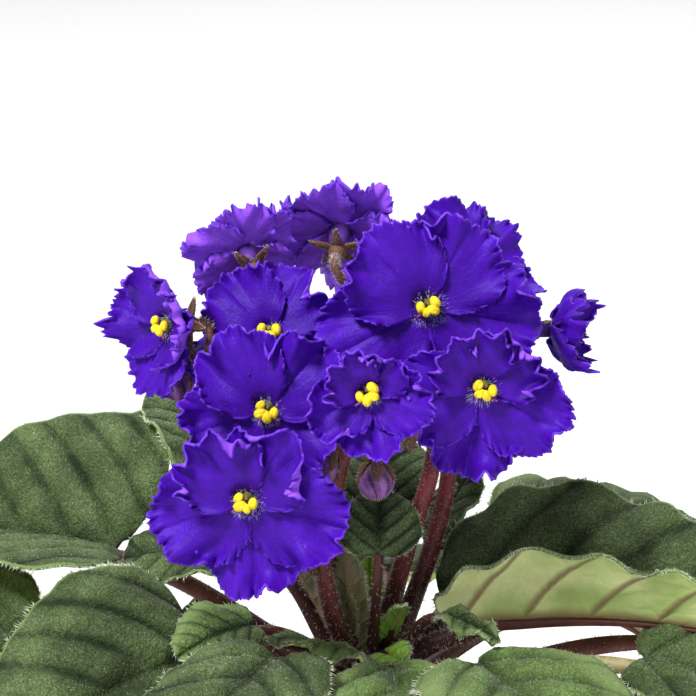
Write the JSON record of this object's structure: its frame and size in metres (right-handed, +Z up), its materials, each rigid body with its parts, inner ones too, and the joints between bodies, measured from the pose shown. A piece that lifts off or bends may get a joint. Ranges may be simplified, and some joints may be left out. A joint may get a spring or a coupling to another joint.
{
  "type": "potted african violet",
  "caption": "Flowering African violet in a plain tapered pot: a rosette of heart-shaped hairy leaves under ruffled violet blooms with yellow anthers.",
  "frame": {"origin": "centre of the pot's flat base, on the surface that it stands on", "axes": "+Z up along the pot's axis, -Y towards the side seen from the front, +X to the right seen from the front"},
  "size_m": [0.2619, 0.2101, 0.2229],
  "materials": {
    "pot": "matte",
    "soil": "matte",
    "crown": "matte",
    "leaf": "matte",
    "stalk": "matte",
    "petal": "matte",
    "anther": "matte"
  },
  "bodies": {
    "root": {"pot": "pot", "soil": "soil", "crown": "crown", "leaf_outer_01": "leaf", "leaf_outer_02": "leaf", "leaf_outer_03": "leaf", "leaf_outer_04": "leaf", "leaf_outer_05": "leaf", "leaf_outer_06": "leaf", "leaf_outer_07": "leaf", "leaf_outer_08": "leaf", "leaf_mid_01": "leaf", "leaf_mid_02": "leaf", "leaf_mid_03": "leaf", "leaf_mid_04": "leaf", "leaf_mid_05": "leaf", "leaf_mid_06": "leaf", "leaf_mid_07": "leaf", "leaf_mid_08": "leaf", "leaf_mid_09": "leaf", "leaf_inner_01": "leaf", "leaf_inner_02": "leaf", "leaf_inner_03": "leaf", "leaf_inner_04": "leaf", "leaf_inner_05": "leaf", "leaf_inner_06": "leaf", "leaf_inner_07": "leaf", "flower_stalk_right": "stalk", "flower_stalk_back": "stalk", "flower_stalk_middle": "stalk", "flower_stalk_left": "stalk", "bloom_01": "petal", "bloom_02": "petal", "bloom_03": "petal", "bloom_04": "petal", "bloom_05": "petal", "bloom_06": "petal", "bloom_07": "petal", "bloom_08": "petal", "bloom_09": "petal", "bloom_10": "petal", "bloom_11": "petal", "bud_left": "petal", "bud_middle": "petal", "bud_inner": "petal", "anthers_01": "anther", "anthers_02": "anther", "anthers_03": "anther", "anthers_04": "anther", "anthers_05": "anther", "anthers_06": "anther", "anthers_07": "anther", "anthers_08": "anther", "anthers_09": "anther", "anthers_10": "anther", "anthers_11": "anther"}
  },
  "joints": []
}
